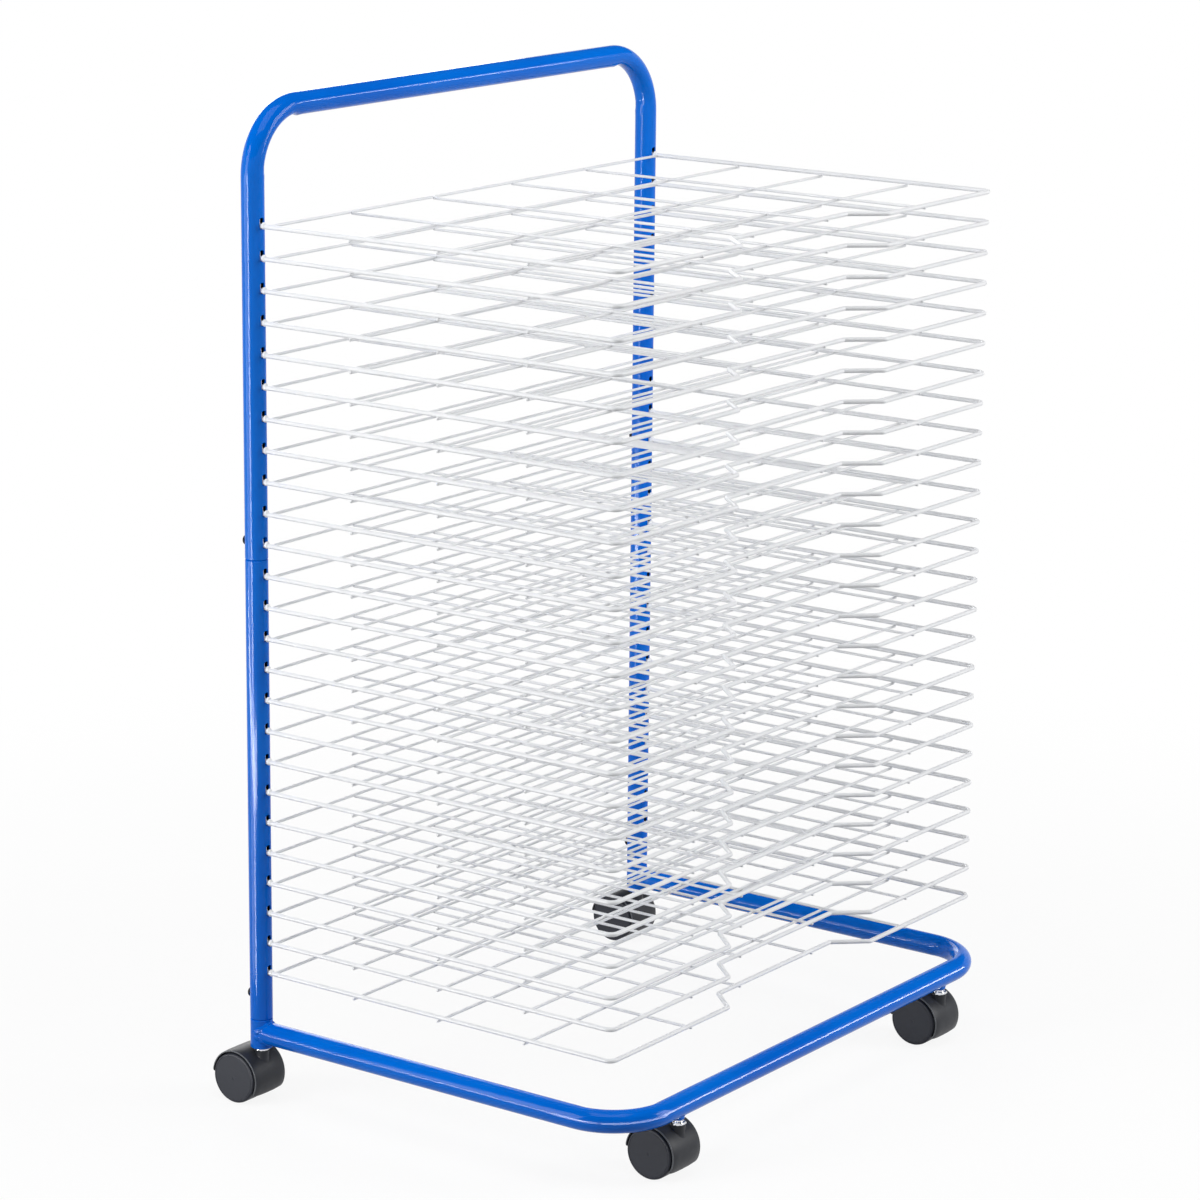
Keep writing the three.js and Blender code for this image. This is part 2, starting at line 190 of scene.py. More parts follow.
casterPlastic = {"flow": (55, 4, 0.6, 0.45, 0.75), "flowShare": 0.45,
                 "dust": (420, 5, 0.75, 0.58, 0.74), "dustShare": 0.3, "edgeHighlight": 0.6, "edgeHighlightDust": 0.4,
                 "grainRough": 0.16, "flowRough": 0.05, "grain": (1500, 2), "strength": 0.6}
hoodPlastic = {**casterPlastic, "colour": (46, 48, 53), "pale": (59, 61, 66), "edge": (122, 125, 130),
               "rough": 0.36, "height": 0.04 * mm, "gloss": 0.22}
wheelPlastic = {**casterPlastic, "colour": (40, 43, 52), "pale": (49, 52, 61), "edge": (70, 73, 81),
                "rough": 0.4, "height": 0.02 * mm, "gloss": 0.2}


def mouldPlastic(name, look):
    shader = Shader(bpy.data.materials.new(name))
    flow, dust = (shader.patches(*look[key]) for key in ("flow", "dust"))
    grain = shader.noise(*look["grain"])
    rim = shader.mark("rim")  # the hood's side edges, where a highlight is painted
    dulled = flow * look["flowShare"] + dust * look["dustShare"]
    skinned = shader.blend(dulled, tone(look["colour"]), tone(look["pale"]))
    # painted highlight on the marked side edges, stronger where the dust patches are
    colour = shader.blend(rim * (look["edgeHighlight"] + dust * look["edgeHighlightDust"]), skinned, tone(look["edge"]))
    rough = look["rough"] + grain * look["grainRough"] - flow * look["flowRough"]
    normal = shader.bump(grain, look["height"], look["strength"])
    return shader.finish({"Base Color": colour, "Roughness": rough, "Normal": normal,
                          "Specular IOR Level": look["gloss"]})


stemPlate = {"colour": (222, 224, 228), "dull": (186, 190, 196), "haze": (190, 4, 0.6, 0.45, 0.8),
             "rough": 0.1, "hazeRough": 0.12, "grainRough": 0.05,
             "grain": (2400, 2), "height": 0.01 * mm, "strength": 0.3}


def plateChrome():
    look = stemPlate
    shader = Shader(bpy.data.materials.new("bright_plated_steel"))
    haze = shader.patches(*look["haze"])
    grain = shader.noise(*look["grain"])
    colour = shader.blend(haze, tone(look["colour"]), tone(look["dull"]))
    rough = look["rough"] + haze * look["hazeRough"] + grain * look["grainRough"]
    normal = shader.bump(grain, look["height"], look["strength"])
    return shader.finish({"Base Color": colour, "Roughness": rough, "Metallic": 1.0, "Normal": normal})


boltBlack = {"colour": (12, 12, 14), "worn": (44, 42, 41),
             "wear": (600, 4, 0.7, 0.6, 0.75), "wearShare": 0.5, "rough": 0.4, "grainRough": 0.2,
             "grain": (2200, 2), "height": 0.02 * mm, "strength": 0.4, "gloss": 0.12}


def blackenSteel():
    look = boltBlack
    shader = Shader(bpy.data.materials.new("black_oxide_steel"))
    wear = shader.patches(*look["wear"])
    grain = shader.noise(*look["grain"])
    colour = shader.blend(wear * look["wearShare"], tone(look["colour"]), tone(look["worn"]))
    rough = look["rough"] + grain * look["grainRough"]
    normal = shader.bump(grain, look["height"], look["strength"])
    return shader.finish({"Base Color": colour, "Roughness": rough, "Normal": normal,
                          "Specular IOR Level": look["gloss"]})


zincPlate = {"colour": (178, 182, 186), "warm": (168, 166, 152), "cloud": (150, 4, 0.5, 0.4, 0.7),
             "rough": 0.3, "cloudRough": 0.1, "grainRough": 0.1,
             "grain": (1800, 2), "height": 0.01 * mm, "strength": 0.4}


def plateZinc():
    look = zincPlate
    shader = Shader(bpy.data.materials.new("zinc_plated_steel"))
    cloud = shader.patches(*look["cloud"])
    grain = shader.noise(*look["grain"])
    colour = shader.blend(cloud, tone(look["colour"]), tone(look["warm"]))
    rough = look["rough"] + cloud * look["cloudRough"] + grain * look["grainRough"]
    normal = shader.bump(grain, look["height"], look["strength"])
    return shader.finish({"Base Color": colour, "Roughness": rough, "Metallic": 1.0, "Normal": normal})


finishes = {
    "frame_blue": paintBlue(),
    "shelf_white": paintWhite(),
    "hood_black": mouldPlastic("satin_hood_plastic", hoodPlastic),
    "wheel_black": mouldPlastic("satin_wheel_plastic", wheelPlastic),
    "stem_chrome": plateChrome(),
    "bolt_black": blackenSteel(),
    "zinc_steel": plateZinc(),
}
print("finishes made:", ", ".join(finishes))


# mesh tools
hands = {"left": -1, "right": 1}  # and the way along X that each lies
rightWay, frontWay, upWay = Vector((1, 0, 0)), Vector((0, -1, 0)), Vector((0, 0, 1))


def meshFrom(name, bm):
    mesh = bpy.data.meshes.new(name)
    bm.to_mesh(mesh)
    bm.free()
    return mesh


def showPiece(name, mesh, slot, body, *replaced, lift=0.0):
    piece = bpy.data.objects.new(name, mesh)
    piece.location.z = lift
    bpy.context.scene.collection.objects.link(piece)
    if not mesh.materials:
        mesh.materials.append(finishes[slot])
    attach(piece, body)
    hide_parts(*replaced)


def tidyFaces(bm, degrees):  # outward faces, smooth but for edges sharper than this
    bmesh.ops.recalc_face_normals(bm, faces=bm.faces)
    limit = math.radians(degrees)
    for face in bm.faces:
        face.smooth = True
    for edge in bm.edges:
        edge.smooth = edge.calc_face_angle(0) < limit


def skin(bm, rings, loop=False, caps=True):  # quads between rings of points
    rows = [[bm.verts.new(point) for point in points] for points in rings]
    pairs = list(zip(rows, rows[1:])) + ([(rows[-1], rows[0])] if loop else [])
    for lower, upper in pairs:
        for i in range(len(lower)):
            j = (i + 1) % len(lower)
            bm.faces.new((lower[i], lower[j], upper[j], upper[i]))
    if caps and not loop:
        bm.faces.new(rows[0])
        bm.faces.new(rows[-1])


def turns(count):  # even angles, once round
    return [2 * math.pi * i / count for i in range(count)]


def ring(count, radius, height):  # round about Z
    return [Vector((radius * math.cos(a), radius * math.sin(a), height)) for a in turns(count)]


def hexRing(count, flat, height, limit=math.inf):  # a hexagon about Z with its corners cut to a limit
    sixth = math.pi / 3
    points = []
    for angle in turns(count):
        radius = min(limit, flat / math.cos((angle % sixth) - sixth / 2))
        points.append(Vector((radius * math.cos(angle), radius * math.sin(angle), height)))
    return points


def middleOf(low, high):  # of a box, from its two corners
    return (low + high) / 2


def bentRoute(corners):  # (point, bend radius, steps) to (point, tangent, inward, share of the bend)
    stations = []
    for i, (at, radius, steps) in enumerate(corners):
        before = (at - corners[i - 1][0]).normalized() if i else None
        after = (corners[i + 1][0] - at).normalized() if i + 1 < len(corners) else None
        if before is None or after is None:
            stations.append((at, before or after, Vector(), 0.0))
            continue
        turn = before.angle(after)
        axis = before.cross(after).normalized()
        start = at - before * radius * math.tan(turn / 2)
        centre = start + axis.cross(before) * radius
        for step in range(steps + 1):
            spin = Matrix.Rotation(turn * step / steps, 3, axis)
            point = centre + spin @ (start - centre)
            stations.append((point, spin @ before, (centre - point).normalized(), step / steps))
    return stations


# tube frame
tube = {"wall": 1.2 * mm, "sides": 40, "ease": 0.7 * mm, "smooth": 32,
        "hoopBend": 62 * mm, "baseBend": 58 * mm, "bendSteps": 18, "bendLead": 6 * mm,
        "dent": 2.1 * mm, "dentRun": 0.11, "bulge": 0.35 * mm,
        "spigot": 40 * mm, "spigotFit": 0.3 * mm, "spigotRoot": 3 * mm,
        "railRise": 15 * mm, "copeSunk": 0.5 * mm}
slotCut = {"half": 2.6 * mm, "floor": 2.6 * mm, "top": 8.0 * mm, "corner": 1.3 * mm}
slotCells = 3  # faces that a slot takes, up and across
hookRise = 10 * mm  # a hook's tip above its shelf
samePlace = 0.01 * mm

postLow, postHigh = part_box("lower_post_left")
hoopLow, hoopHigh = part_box("top_hoop")
baseLow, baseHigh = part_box("base_loop")
tubeRadius = (postHigh.x - postLow.x) / 2
spigotRadius = tubeRadius - tube["wall"] - tube["spigotFit"]
postX = -(postHigh.x + postLow.x) / 2
postY = (postHigh.y + postLow.y) / 2
frontY = baseLow.y + tubeRadius
hoopTop = hoopHigh.z - tubeRadius
railZ = baseLow.z + tube["railRise"]  # the rail's axis
stubTop = baseHigh.z - tube["spigot"]
seamZ = postHigh.z - tube["spigot"]
shelfNames = sorted(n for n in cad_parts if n.startswith("shelf_"))
shelfHeights = [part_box(n)[1].z - hookRise for n in shelfNames]


def slotAngles(inner):  # columns at the edges of a slot, then the rest of the way round
    wide = math.asin(slotCut["half"] / inner)
    narrow = math.asin((slotCut["half"] - slotCut["corner"]) / inner)
    rest = tube["sides"] - slotCells
    around = [wide + (2 * math.pi - 2 * wide) * i / rest for i in range(1, rest)]
    return [-wide, -narrow, narrow, wide] + around


def slotRows(low, high):  # the four heights of each slot between low and high
    rows = []
    for z in sorted(shelfHeights):
        foot, head = z - slotCut["floor"], z + slotCut["top"]
        if foot > low and head < high:
            rows.append((foot, foot + slotCut["corner"], head - slotCut["corner"], head))
    return rows


def slottedTube(bm, stations, starts, outer, front):
    # stations are (point, tangent, inward, dent, narrowing); starts are where a slot's four rows begin
    bare = bm.faces.layers.float.get("inside") or bm.faces.layers.float.new("inside")
    inner = outer - tube["wall"]
    angles = slotAngles(inner)
    count = len(angles)
    outside, inside = [], []
    for point, tangent, inward, dent, narrowing in stations:
        other = tangent.cross(front)
        ways = [front * math.cos(a) + other * math.sin(a) for a in angles]
        sizes = [outer - narrowing - dent * max(0.0, way.dot(inward)) ** 2 for way in ways]
        bores = [inner - outer + size + narrowing for size in sizes]
        outside.append([bm.verts.new(point + way * size) for way, size in zip(ways, sizes)])
        inside.append([bm.verts.new(point + way * size) for way, size in zip(ways, bores)])
    partner = {a: b for rowA, rowB in zip(outside, inside) for a, b in zip(rowA, rowB)}
    slotRow = {start + k: k for start in starts for k in range(slotCells)}
    cutPoint = {(0, 0): 2, (0, 2): 3, (2, 0): 1, (2, 2): 0}  # what a corner of the slot loses
    cells = []
    for i in range(len(stations) - 1):
        for j in range(count):
            n = (j + 1) % count
            cell = [(i, j), (i, n), (i + 1, n), (i + 1, j)]
            place = (slotRow.get(i), j)
            if place in cutPoint:
                lost = cutPoint[place]
                cells.append(cell[:lost] + cell[lost + 1:])
            elif place[0] is None or j >= slotCells:
                cells.append(cell)
    walls = [bm.faces.new([outside[i][j] for i, j in cell]) for cell in cells]
    for cell in cells:
        # the bore's faces are marked for the painted shade inside the tube
        bm.faces.new([inside[i][j] for i, j in reversed(cell)])[bare] = 1.0
    for edge in dict.fromkeys(e for wall in walls for e in wall.edges):  # close the slots and the two ends
        if len(edge.link_faces) == 1:
            a, b = edge.verts
            bm.faces.new((a, b, partner[b], partner[a]))


def straightPost(x, low, high, easeHigh=True, slots=True):  # stations straight up, with the ends eased over
    ease = tube["ease"]
    marks = [(low, ease), (low + ease, 0.0)]
    starts = []
    for rows in slotRows(low + 2 * ease, high - 2 * ease) if slots else []:
        starts.append(len(marks))
        marks += [(z, 0.0) for z in rows]
    marks += [(high - ease, 0.0), (high, ease)] if easeHigh else [(high, 0.0)]
    return [(Vector((x, postY, z)), upWay, Vector(), 0.0, n) for z, n in marks], starts


def bendStations(end, corner, radius):  # dented bends at a left corner and its mirror, and the run between
    corners = [(end, 0, 0), (corner, radius, tube["bendSteps"])]
    corners += [(Vector((-at.x, at.y, at.z)), bend, steps) for at, bend, steps in reversed(corners)]
    bends = []
    for point, tangent, inward, share in bentRoute(corners)[1:-1]:
        rise = min(1.0, share / tube["dentRun"], (1 - share) / tube["dentRun"])
        bends.append((point, tangent, inward, tube["dent"] * rise if rise > 0 else -tube["bulge"], 0.0))
    half = len(bends) // 2
    run = []
    for station, way in ((bends[half - 1], tube["bendLead"]), (bends[half], -tube["bendLead"])):
        run.append((station[0] + rightWay * way, station[1], Vector(), 0.0, 0.0))
    return bends[:half] + run + bends[half:]


def uprightTube(bm, x, low, high, outer, slots=True):
    stations, starts = straightPost(x, low, high, slots=slots)
    slottedTube(bm, stations, starts, outer, frontWay)


def tubePiece(name, bm, node):
    tidyFaces(bm, tube["smooth"])
    showPiece(name, meshFrom(name, bm), "frame_blue", "frame", node)


def topHoop():
    bm = bmesh.new()
    straightTop = hoopTop - tube["hoopBend"] - tube["bendLead"]
    left, starts = straightPost(-postX, hoopLow.z, straightTop, easeHigh=False)
    right, rightStarts = straightPost(postX, hoopLow.z, straightTop, easeHigh=False)
    down = [(point, -tangent, *rest) for point, tangent, *rest in reversed(right)]
    foot, corner = (Vector((-postX, postY, z)) for z in (hoopLow.z, hoopTop))
    stations = left + bendStations(foot, corner, tube["hoopBend"]) + down
    last = len(stations) - 1
    starts += [last - start - slotCells for start in rightStarts]
    slottedTube(bm, stations, starts, tubeRadius, frontWay)
    tubePiece("hoop_tube", bm, "top_hoop")


def lowerPost(hand, side):
    bm = bmesh.new()
    uprightTube(bm, side * postX, postLow.z, seamZ, tubeRadius)
    uprightTube(bm, side * postX, seamZ - tube["spigotRoot"], postHigh.z, spigotRadius)
    tubePiece(f"post_tube_{hand}", bm, f"lower_post_{hand}")


# wander and calm make the lumps uneven, lean and forward turn the seam towards the front
weld = {"size": 2.3 * mm, "steps": 132, "sides": 12, "tall": 0.8, "wide": 1.3,
        "ripple": 0.45 * mm, "lumps": 11, "wander": 1.7, "wanders": 3, "calm": 0.3, "uneven": 0.06 * mm,
        "lean": 0.4, "forward": 0.25, "proud": 0.02, "sunk": 0.4 * mm}


def weldBead(bm, x):  # a lumpy seam where the rail is coped to the stub
    rings = []
    for angle in turns(weld["steps"]):
        sideways, upward = math.sin(angle), math.cos(angle)
        at = Vector((sideways, -abs(upward) - weld["proud"], upward)) * tubeRadius
        out = Vector((sideways, -abs(upward) * weld["lean"] - weld["forward"], upward)).normalized()
        along = Vector((upward, math.copysign(sideways, upward * sideways), -sideways)).normalized()
        across = along.cross(out).normalized()
        lump = math.cos(weld["lumps"] * angle + weld["wander"] * math.sin(weld["wanders"] * angle))
        lump *= weld["calm"] + (1 - weld["calm"]) * math.cos(angle / 2) ** 2
        size = weld["size"] + weld["ripple"] * lump + random.uniform(-weld["uneven"], weld["uneven"])
        tall, wide = size * weld["tall"], size * weld["wide"]
        centre = at + Vector((x, postY, railZ)) - out * weld["sunk"]
        ways = [out * math.cos(a) * tall + across * math.sin(a) * wide for a in turns(weld["sides"])]
        rings.append([centre + way for way in ways])
    skin(bm, rings, loop=True)


boss = {"radius": 6 * mm, "bore": 3.8 * mm, "drop": 12.8 * mm, "ease": 0.7 * mm, "boreEase": 0.3 * mm,
        "flare": 1.3 * mm, "flareFoot": 0.4 * mm, "flareRise": 1.5 * mm, "headShare": 0.55, "sides": 32}


def stemBoss(bm, hand):  # under the front run, flared where it is welded to the rail
    centre = middleOf(*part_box(f"caster_front_{hand}_stem"))
    centre.z = railZ
    radius, bore, flare = boss["radius"], boss["bore"], boss["flare"]
    foot, head = -boss["drop"], -boss["headShare"] * tubeRadius
    flareFoot, flareRise = (boss[key] - tubeRadius for key in ("flareFoot", "flareRise"))
    profile = [(bore, foot + boss["boreEase"]), (bore + boss["boreEase"], foot),
               (radius - boss["ease"], foot), (radius, foot + boss["ease"]), (radius, flareFoot),
               (radius + flare / 2, flareRise), (radius + flare, head), (bore, head)]
    skin(bm, [[centre + point for point in ring(boss["sides"], r, z)] for r, z in profile], loop=True)


def baseLoop():
    bm = bmesh.new()
    copedY = postY - tubeRadius
    reaches = (copedY, copedY - tubeRadius, frontY + tube["baseBend"] + tube["bendLead"])
    left = [(Vector((-postX, y, railZ)), frontWay, Vector(), 0.0, 0.0) for y in reaches]
    right = [(Vector((postX, y, railZ)), -frontWay, Vector(), 0.0, 0.0) for y in reversed(reaches)]
    back, corner = (Vector((-postX, y, railZ)) for y in (postY, frontY))
    stations = left + bendStations(back, corner, tube["baseBend"]) + right
    slottedTube(bm, stations, [], tubeRadius, upWay)
    for vert in bm.verts:  # cope the rail's two ends to the round of the stubs
        if abs(vert.co.y - copedY) < samePlace:
            offset = min(tubeRadius, abs(abs(vert.co.x) - postX))
            vert.co.y = postY - math.sqrt(tubeRadius ** 2 - offset ** 2) + tube["copeSunk"]
    for side in hands.values():
        uprightTube(bm, side * postX, baseLow.z, stubTop, tubeRadius, slots=False)
        uprightTube(bm, side * postX, stubTop - tube["spigotRoot"], baseHigh.z, spigotRadius, slots=False)
        weldBead(bm, side * postX)
    for hand in hands:
        stemBoss(bm, hand)
    tubePiece("base_tube", bm, "base_loop")


topHoop()
for handName, handSide in hands.items():
    lowerPost(handName, handSide)
baseLoop()
print("tube frame dressed: hoop, two posts, base")


# bolts in the backs of the posts; the crown is in shares of the head's radius and rise
buttonBolt = {"head": 5 * mm, "shank": 3 * mm, "seatGap": 0.05 * mm, "steps": 48, "smooth": 32,
              "crown": [(1.0, 0.0), (1.0, 0.3), (0.95, 0.58), (0.84, 0.8), (0.68, 0.95), (0.52, 1.0)],
              "socketFlat": 1.9 * mm, "socketDepth": 1.7 * mm}


def buttonHead(node):
    low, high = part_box(node)
    seat = postY + tubeRadius + buttonBolt["seatGap"]
    rise = high.y - seat
    count = buttonBolt["steps"]
    rings = [ring(count, buttonBolt["shank"], z) for z in (low.y - seat, 0)]
    rings += [ring(count, buttonBolt["head"] * r, rise * h) for r, h in buttonBolt["crown"]]
    rings += [hexRing(count, buttonBolt["socketFlat"], z) for z in (rise, rise - buttonBolt["socketDepth"])]
    centre = middleOf(low, high)
    centre.y = seat
    turn = Matrix.Translation(centre) @ Matrix.Rotation(math.radians(-90), 4, "X")
    bm = bmesh.new()
    skin(bm, [[turn @ point for point in points] for points in rings])
    tidyFaces(bm, buttonBolt["smooth"])
    name = f"{node}_head"
    showPiece(name, meshFrom(name, bm), "bolt_black", "frame", node)


for level in ("mid", "base"):
    for handName in hands:
        buttonHead(f"{level}_bolt_{handName}")
print("bolts dressed")


# wire shelves
wire = {"edge": 2.2 * mm, "edgeSides": 14, "grid": 1.4 * mm, "gridSides": 10, "smooth": 50,
        "barShare": 0.886,  # half of a solid's square bar, in radii of the round wire
        "dome": [(0.42, 0.9), (0.78, 0.6), (0.96, 0.22)],  # reach and size of a wire's end, in radii
        "hookBend": 3.6 * mm, "hookSteps": 6, "corner": 7.5 * mm, "cornerSteps": 10,
        "kink": 4 * mm, "kinkSteps": 6,
        "notchOuter": 124 * mm, "notchInner": 97 * mm, "notchDepth": 30 * mm,
        "columns": 4, "rows": 4, "rowPitch": 101.5 * mm, "backGap": 4.24 * mm, "poke": 0.5 * mm,
        "crossDrop": 3.5 * mm, "backDrop": 0.6 * mm, "gridDrop": 1.9 * mm}
# half sizes of the spots of coat and weld; the two drops are shares of the wire's own
beads = {"hook": (2.9 * mm, 2.7 * mm, 3.6 * mm), "hookOut": 2.2 * mm, "hookUp": 0.6 * mm,
         "edge": (1.9 * mm, 1.9 * mm, 1.3 * mm), "grid": (1.6 * mm, 1.6 * mm, 1.1 * mm),
         "rowDrop": 0.6, "columnDrop": 0.75, "around": 8, "levels": 5}


def bead(bm, kind, x, y, z):
    made = bmesh.ops.create_uvsphere(bm, u_segments=beads["around"], v_segments=beads["levels"], radius=1)
    bmesh.ops.scale(bm, vec=beads[kind], verts=made["verts"])
    bmesh.ops.translate(bm, vec=(x, y, z), verts=made["verts"])


def sweepWire(bm, corners, radius, sides, side):  # round wire with domed ends
    path = [(point, tangent, radius) for point, tangent, *_ in bentRoute(corners)]
    (head, headWay, _), (tail, tailWay, _) = path[0], path[-1]
    before = [(head - headWay * radius * a, headWay, radius * b) for a, b in reversed(wire["dome"])]
    after = [(tail + tailWay * radius * a, tailWay, radius * b) for a, b in wire["dome"]]
    rings = []
    for point, tangent, size in before + path + after:
        side = (side - tangent * side.dot(tangent)).normalized()
        other = tangent.cross(side)
        rings.append([point + (side * math.cos(a) + other * math.sin(a)) * size for a in turns(sides)])
    skin(bm, rings)


def gridWire(bm, start, end):
    corners = [(Vector(point), 0, 0) for point in (start, end)]
    sweepWire(bm, corners, wire["grid"], wire["gridSides"], upWay)


def edgeWire(bm, hookY, reach, notch):  # from hook to hook round the notched front
    tip = hookRise - wire["edge"] * wire["dome"][-1][0]
    half = [(Vector((-postX, hookY, tip)), 0, 0),
            (Vector((-postX, hookY, 0)), wire["hookBend"], wire["hookSteps"]),
            (Vector((-postX, reach, 0)), wire["corner"], wire["cornerSteps"]),
            (Vector((-wire["notchOuter"], reach, 0)), wire["kink"], wire["kinkSteps"]),
            (Vector((-wire["notchInner"], notch, 0)), wire["kink"], wire["kinkSteps"])]
    other = [(Vector((-at.x, at.y, at.z)), radius, steps) for at, radius, steps in reversed(half)]
    sweepWire(bm, half + other, wire["edge"], wire["edgeSides"], rightWay)
    for side in hands.values():  # the coat gathers where the hook goes in
        bead(bm, "hook", side * postX, postY - tubeRadius - beads["hookOut"], beads["hookUp"])


def gridWires(bm, reach, notch):
    backY = postY - tubeRadius - wire["backGap"]
    rows = [backY - i * wire["rowPitch"] for i in range(wire["rows"])]
    drops = [wire["backDrop"]] + [wire["crossDrop"]] * (wire["rows"] - 1)
    columns = [(i + 1) * 2 * postX / (wire["columns"] + 1) - postX for i in range(wire["columns"])]
    stretch = wire["edge"] + wire["poke"] - wire["grid"]
    for y, drop in zip(rows, drops):  # the back wire butts on the side wires, the others run under them
        span = postX if y == backY else postX + stretch
        gridWire(bm, (-span, y, -drop), (span, y, -drop))
        for side in hands.values():
            bead(bm, "edge", side * postX, y, -beads["rowDrop"] * drop)
    sunk = wire["gridDrop"]
    for x in columns:
        rim = notch if abs(x) < wire["notchInner"] else reach
        gridWire(bm, (x, rim - stretch, -sunk), (x, backY + wire["poke"] - wire["grid"], -sunk))
        bead(bm, "edge", x, rim, -beads["columnDrop"] * sunk)
        for y, drop in zip(rows, drops):
            bead(bm, "grid", x, y, -(sunk + drop) / 2)


def shelfMesh():
    bm = bmesh.new()
    low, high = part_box(shelfNames[0])
    inset = wire["edge"] * wire["barShare"]
    reach = low.y + inset
    notch = reach + wire["notchDepth"]
    edgeWire(bm, high.y - inset, reach, notch)
    gridWires(bm, reach, notch)
    tidyFaces(bm, wire["smooth"])
    return meshFrom("wire_shelf", bm)


wireShelf = shelfMesh()
for shelfName, height in zip(shelfNames, shelfHeights):
    showPiece(f"{shelfName}_wires", wireShelf, "shelf_white", shelfName, shelfName, lift=height)
print("shelves dressed:", len(shelfNames))


# casters; angles go round the axle, from the front over the top
hoodShape = {"outer": 28.2 * mm, "inner": 26.2 * mm, "half": 22.0 * mm, "from": -35, "to": 180, "steps": 60,
             "crown": 0.6 * mm, "crownAt": 0.6, "crownShare": 0.25, "corner": 5 * mm, "lipEase": 0.35 * mm,
             "edge": 0.8 * mm,  # then the rounding of the sides, in edges: in from the side, and down or up
             "shoulder": [(1.0, 0.0), (0.25, 0.3), (0.0, 0.8)], "skirt": [(0.2, 0.15), (1.0, 0.0)],
             "rimShare": 0.7, "rimDepth": 0.4 * mm, "web": 4.5 * mm, "webInset": 4, "webSteps": 36,
             "smooth": 40}
bossShape = {"top": 52.2 * mm, "radius": 7.2 * mm, "taper": 0.09, "fillet": 1.0 * mm, "filletPower": 6,
             "ease": 0.25 * mm, "lip": 0.45, "collar": 0.955, "steps": 48, "levels": 12, "rounds": 40}
hoodMiddle = (hoodShape["outer"] + hoodShape["inner"]) / 2


def casterPlace(name):
    foot = middleOf(*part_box(f"{name}_stem"))
    foot.z = 0
    hub = middleOf(*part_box(f"{name}_axle"))
    hub.x = foot.x
    return foot, hub


def roundHub(hub, radius, degrees, across):
    angle = math.radians(degrees)
    return hub + Vector((across, -radius * math.cos(angle), radius * math.sin(angle)))


def hoodShell(bm, hub):
    shape = hoodShape
    first, last, edge, crown, corner = (shape[key] for key in ("from", "to", "edge", "crown", "corner"))
    rings = []
    for i in range(shape["steps"] + 1):
        degrees = first + (last - first) * i / shape["steps"]
        run = math.radians(min(degrees - first, last - degrees)) * shape["outer"]
        short = max(0.0, corner - run)  # round the corners of both lips
        half = shape["half"] - corner + math.sqrt(corner ** 2 - short ** 2)
        thin = shape["lipEase"] if i in (0, shape["steps"]) else 0.0
        outer, inner = shape["outer"] - thin, shape["inner"] + thin
        right = [(half * shape["crownAt"], outer - shape["crownShare"] * crown)]
        right += [(half - a * edge, outer - crown - b * edge) for a, b in shape["shoulder"]]
        right += [(half - a * edge, inner + b * edge) for a, b in shape["skirt"]]
        left = [(-x, r) for x, r in reversed(right)]
        rings.append([roundHub(hub, r, degrees, x) for x, r in [(0, outer)] + right + [(0, inner)] + left])
    # the side edges are marked for the hood's painted highlight
    rim = bm.faces.layers.float.new("rim")
    skin(bm, rings)
    for face in bm.faces:
        middle = face.calc_center_median() - hub
        atSide = abs(middle.x) > shape["half"] - shape["rimShare"] * edge
        if atSide and math.hypot(middle.y, middle.z) > shape["inner"] + shape["rimDepth"]:
            face[rim] = 1.0


def hoodWeb(bm, hub):  # the plate between the two wheels
    shape = hoodShape
    first, last = shape["from"] + shape["webInset"], shape["to"] - shape["webInset"]
    angles = [first + (last - first) * i / shape["webSteps"] for i in range(shape["webSteps"] + 1)]
    faces = [side * shape["web"] for side in hands.values()]
    skin(bm, [[roundHub(hub, hoodMiddle, degrees, across) for degrees in angles] for across in faces])


def bossRadius(z):
    return bossShape["radius"] - bossShape["taper"] * (bossShape["top"] - z)


def swivelBoss(bm, foot, hub):  # a taper that runs down into the front of the hood
    shape = bossShape
    levels = shape["levels"]
    columns = []
    for angle in turns(shape["steps"]):
        way = Vector((math.sin(angle), -math.cos(angle), 0))
        end = shape["top"]
        for _ in range(shape["rounds"]):  # where the taper meets the hood
            depth = hub.y - (foot.y + way.y * bossRadius(end))
            end = hub.z + math.sqrt(max(0.0, hoodMiddle ** 2 - depth ** 2))
        column = []
        for share in (k / levels for k in range(levels + 1)):
            z = shape["top"] + (end - shape["top"]) * share
            radius = bossRadius(z) + shape["fillet"] * share ** shape["filletPower"]
            column.append(foot + way * radius + upWay * z)
        columns.append(column)
    rings = [list(level) for level in zip(*columns)]
    top = foot + upWay * shape["top"]
    lip, collar = ([top + (point - top) * shape[key] for point in rings[0]] for key in ("lip", "collar"))
    rings[0] = [point - upWay * shape["ease"] for point in rings[0]]
    skin(bm, [lip, collar] + rings)


def hoodPiece(caster, foot, hub):
    bm = bmesh.new()
    hoodShell(bm, hub)
    hoodWeb(bm, hub)
    swivelBoss(bm, foot, hub)
    tidyFaces(bm, hoodShape["smooth"])
    name = f"{caster}_hood_shell"
    showPiece(name, meshFrom(name, bm), "hood_black", f"{caster}_fork", f"{caster}_hood")


# radius and distance from the hood's middle in mm, from the depth of the bore round to the cap's middle
wheelShape = {"steps": 64, "smooth": 30, "profile": [
    (3.3, 18.5), (3.3, 5.0), (7.5, 5.0), (8.2, 5.7), (21.6, 5.7), (22.3, 5.0), (24.2, 5.0), (24.8, 5.3),
    (25.0, 6.0), (25.0, 13.5), (25.0, 20.8), (24.8, 21.7), (24.3, 22.4), (23.6, 22.8), (22.8, 22.95),
    (22.5, 22.7), (22.1, 22.7), (21.8, 22.9), (14.0, 22.97), (1.6, 23.0), (1.3, 22.75)]}


